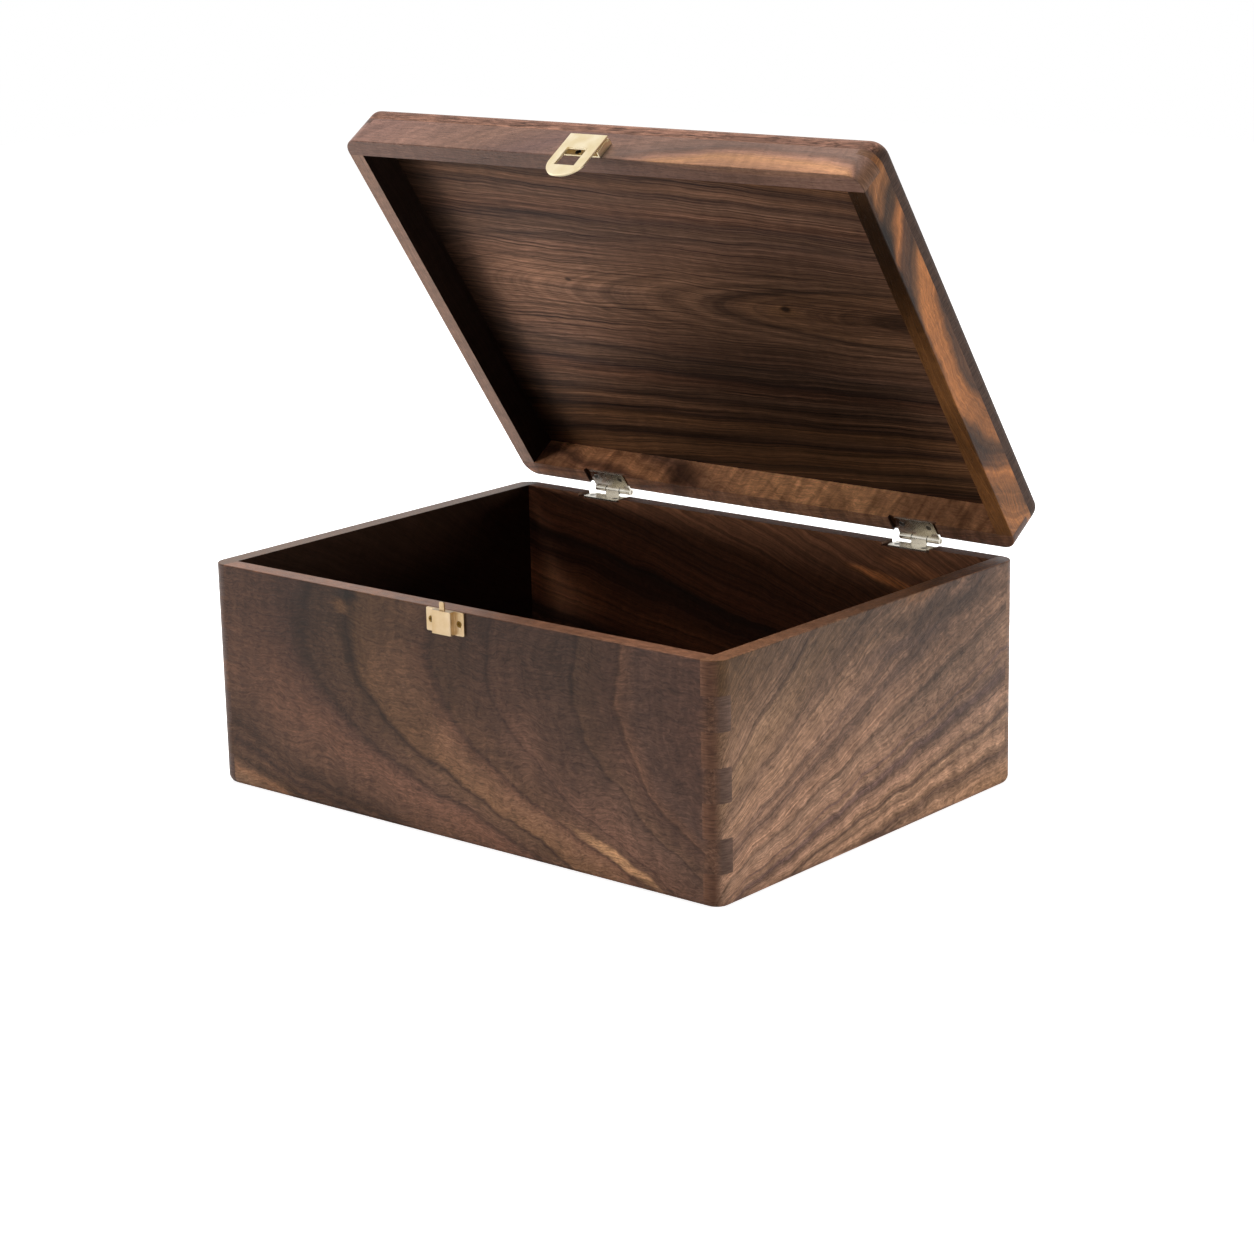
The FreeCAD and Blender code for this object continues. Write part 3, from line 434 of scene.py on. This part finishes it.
def metal(name, finish):
    material = bpy.data.materials.new(name)
    material.use_nodes = True
    tree = material.node_tree
    shader = tree.nodes["Principled BSDF"]
    shader.inputs["Metallic"].default_value = 1.0
    coords = add(tree, "TexCoord")
    place = add(tree, "Mapping", {"Scale": (1000, 1000, 1000)}, {"Vector": coords.outputs["Object"]})
    fineMm, longMm = finish["brush"]
    brushGrid = add(tree, "VectorMath", {1: (fineMm, longMm, longMm)}, {0: place}, operation="DIVIDE")
    brush = add(tree, "TexNoise", {"Scale": 1.0, "Detail": 3.0}, {"Vector": brushGrid})
    cloud = add(tree, "TexNoise", {"Scale": 0.12, "Detail": 3.0}, {"Vector": place})
    tone = add(tree, "MapRange", {1: 0.3, 2: 0.7}, {0: cloud})
    colour = add(tree, "Mix", {6: linear(finish["colour"]), 7: linear(finish["dark"])}, {0: tone}, data_type="RGBA")
    # dark lines where the knuckles meet: partly grease, partly painted shadow in the seams
    if "seams" in finish:
        hingeX, seamX, lineMm = finish["seams"]
        axes = add(tree, "SeparateXYZ", links={0: place})
        side = add(tree, "Math", links={0: axes.outputs[0]}, operation="ABSOLUTE")
        fromHinge = add(tree, "Math", {1: hingeX}, {0: side}, operation="SUBTRACT")
        eitherWay = add(tree, "Math", links={0: fromHinge}, operation="ABSOLUTE")
        fromSeam = add(tree, "Math", {1: seamX, 2: lineMm / 2}, {0: eitherWay}, operation="COMPARE")
        radial = add(tree, "VectorMath", {1: (0, *lidAxis[1:])}, {0: add(tree, "CombineXYZ", links={
            1: axes.outputs[1], 2: axes.outputs[2]})}, operation="DISTANCE").outputs["Value"]
        barrel = add(tree, "Math", {1: 2.2}, {0: radial}, operation="LESS_THAN")
        seamGreaseAndShadow = add(tree, "Math", links={0: fromSeam, 1: barrel}, operation="MULTIPLY")
        colour = add(tree, "Mix", {7: linear(finish["greaseAndSeamShadow"])}, {0: seamGreaseAndShadow, 6: colour.outputs[2]}, data_type="RGBA")
    tree.links.new(colour.outputs[2], shader.inputs["Base Color"])
    low, high = finish["roughness"]
    roughness = add(tree, "MapRange", {1: 0.3, 2: 0.7, 3: low, 4: high}, {0: brush})
    tree.links.new(roughness.outputs[0], shader.inputs["Roughness"])
    edge = add(tree, "Bevel", {"Radius": metalEdge})
    bump = add(tree, "Bump", {"Strength": finish["bump"], "Distance": 0.00002}, {"Height": brush, "Normal": edge})
    tree.links.new(bump.outputs[0], shader.inputs["Normal"])
    return material


brass = metal("satinBrass", brassFinish)
nickel = metal("nickelPlate", nickelFinish)
# near black metal for the hasp screws: painted shadow
holeShadowMetal = metal("paintedHoleShadow", holeShadowFinish)
for entry in frame["record"]["subparts"]:
    finish = {"brass": brass, "nickel": nickel, "dark_steel": holeShadowMetal}.get(entry["material_slot"])
    if finish:
        dress(entry["node"], finish)
# catch screws: their darker colour is painted shade
dress("catch_screws", metal("brassScrewPaintedShade", screwFinish))
keeper = metal("goldenBrass", keeperFinish)
dress("catch_keeper", keeper)
dress("catch_tongue", keeper)
# hinge screws: their darker colour is painted shade
hingeScrew = metal("nickelScrewPaintedShade", hingeScrewFinish)
dress("hinge_body_screws", hingeScrew)
dress("hinge_lid_screws", hingeScrew)
print("metal on the hinges, hasp and keeper")

# studio: strong softbox overhead, white table that throws light back up, one low softbox on each side
studio = {
    "floorSize": 3.0, "floorColour": "#d2d2d2",
    "nearGlow": 0.9, "farGlow": 1.0, "glowFrom": 0.35, "glowTo": 1.1,  # metres from the box
    "mirrorGlow": 0.85,
    "ambient": 0.05,
}
softboxes = (
    {"name": "topSoftbox", "place": (-0.35, -0.05, 1.6), "aim": (0, 0, 0), "size": (0.7, 0.7), "watts": 48},
    {"name": "leftSoftbox", "place": (-1.4, -1.0, 0.14), "aim": (0, 0, 0.2), "size": (0.7, 0.26), "watts": 25},
    {"name": "rightSoftbox", "place": (1.6, 0.65, 0.2), "aim": (0, 0, 0.1), "size": (0.8, 0.24), "watts": 25},
)


def makeStudio():
    mesh = bpy.data.meshes.new("floor")
    shape = bmesh.new()
    bmesh.ops.create_grid(shape, x_segments=1, y_segments=1, size=studio["floorSize"])
    shape.to_mesh(mesh)
    shape.free()
    floor = bpy.data.objects.new("floor", mesh)
    bpy.context.scene.collection.objects.link(floor)
    paper = bpy.data.materials.new("whitePaper")
    paper.use_nodes = True
    tree = paper.node_tree
    tree.nodes.clear()
    rays = add(tree, "LightPath")
    coords = add(tree, "TexCoord")
    away = add(tree, "VectorMath", links={0: coords.outputs["Object"]}, operation="LENGTH").outputs["Value"]
    level = add(tree, "MapRange", {1: studio["glowFrom"], 2: studio["glowTo"], 3: studio["nearGlow"],
                                   4: studio["farGlow"]}, {0: away})
    seenLevel = add(tree, "Math", links={0: rays.outputs["Is Camera Ray"], 1: level}, operation="MULTIPLY")
    mirrorLevel = add(tree, "MapRange", {1: studio["glowFrom"], 2: studio["glowTo"], 4: studio["mirrorGlow"]},
                      {0: away})
    glowStrength = add(tree, "Math", links={0: rays.outputs["Is Glossy Ray"], 1: mirrorLevel, 2: seenLevel},
                       operation="MULTIPLY_ADD")
    glow = add(tree, "Emission", {"Color": (1, 1, 1, 1)}, {"Strength": glowStrength})
    matte = add(tree, "BsdfDiffuse", {"Color": linear(studio["floorColour"])})
    both = add(tree, "AddShader", links={0: glow, 1: matte})
    add(tree, "OutputMaterial", links={"Surface": both})
    mesh.materials.append(paper)
    world = bpy.data.worlds.new("studioWorld")
    bpy.context.scene.world = world
    world.use_nodes = True
    tree = world.node_tree
    rays = add(tree, "LightPath")
    seen = add(tree, "Math", links={0: rays.outputs["Is Camera Ray"], 1: rays.outputs["Is Glossy Ray"]},
               operation="MAXIMUM")
    strength = add(tree, "MapRange", {3: studio["ambient"], 4: 1.0}, {0: seen})
    background = tree.nodes["Background"]
    background.inputs["Color"].default_value = (1, 1, 1, 1)
    tree.links.new(strength.outputs[0], background.inputs["Strength"])
    for softbox in softboxes:
        lamp = bpy.data.lights.new(softbox["name"], "AREA")
        lamp.shape = "RECTANGLE"
        lamp.size, lamp.size_y = softbox["size"]
        lamp.energy = softbox["watts"]
        holder = bpy.data.objects.new(softbox["name"], lamp)
        holder.location = softbox["place"]
        holder.visible_glossy = False  # diffusers keep the lamps themselves out of the reflections
        aim = Vector(softbox["aim"]) - Vector(softbox["place"])
        holder.rotation_euler = aim.to_track_quat("-Z", "Y").to_euler()
        bpy.context.scene.collection.objects.link(holder)


makeStudio()
bpy.context.scene.view_settings.view_transform = "Standard"
print("studio lit by", len(softboxes), "softboxes")
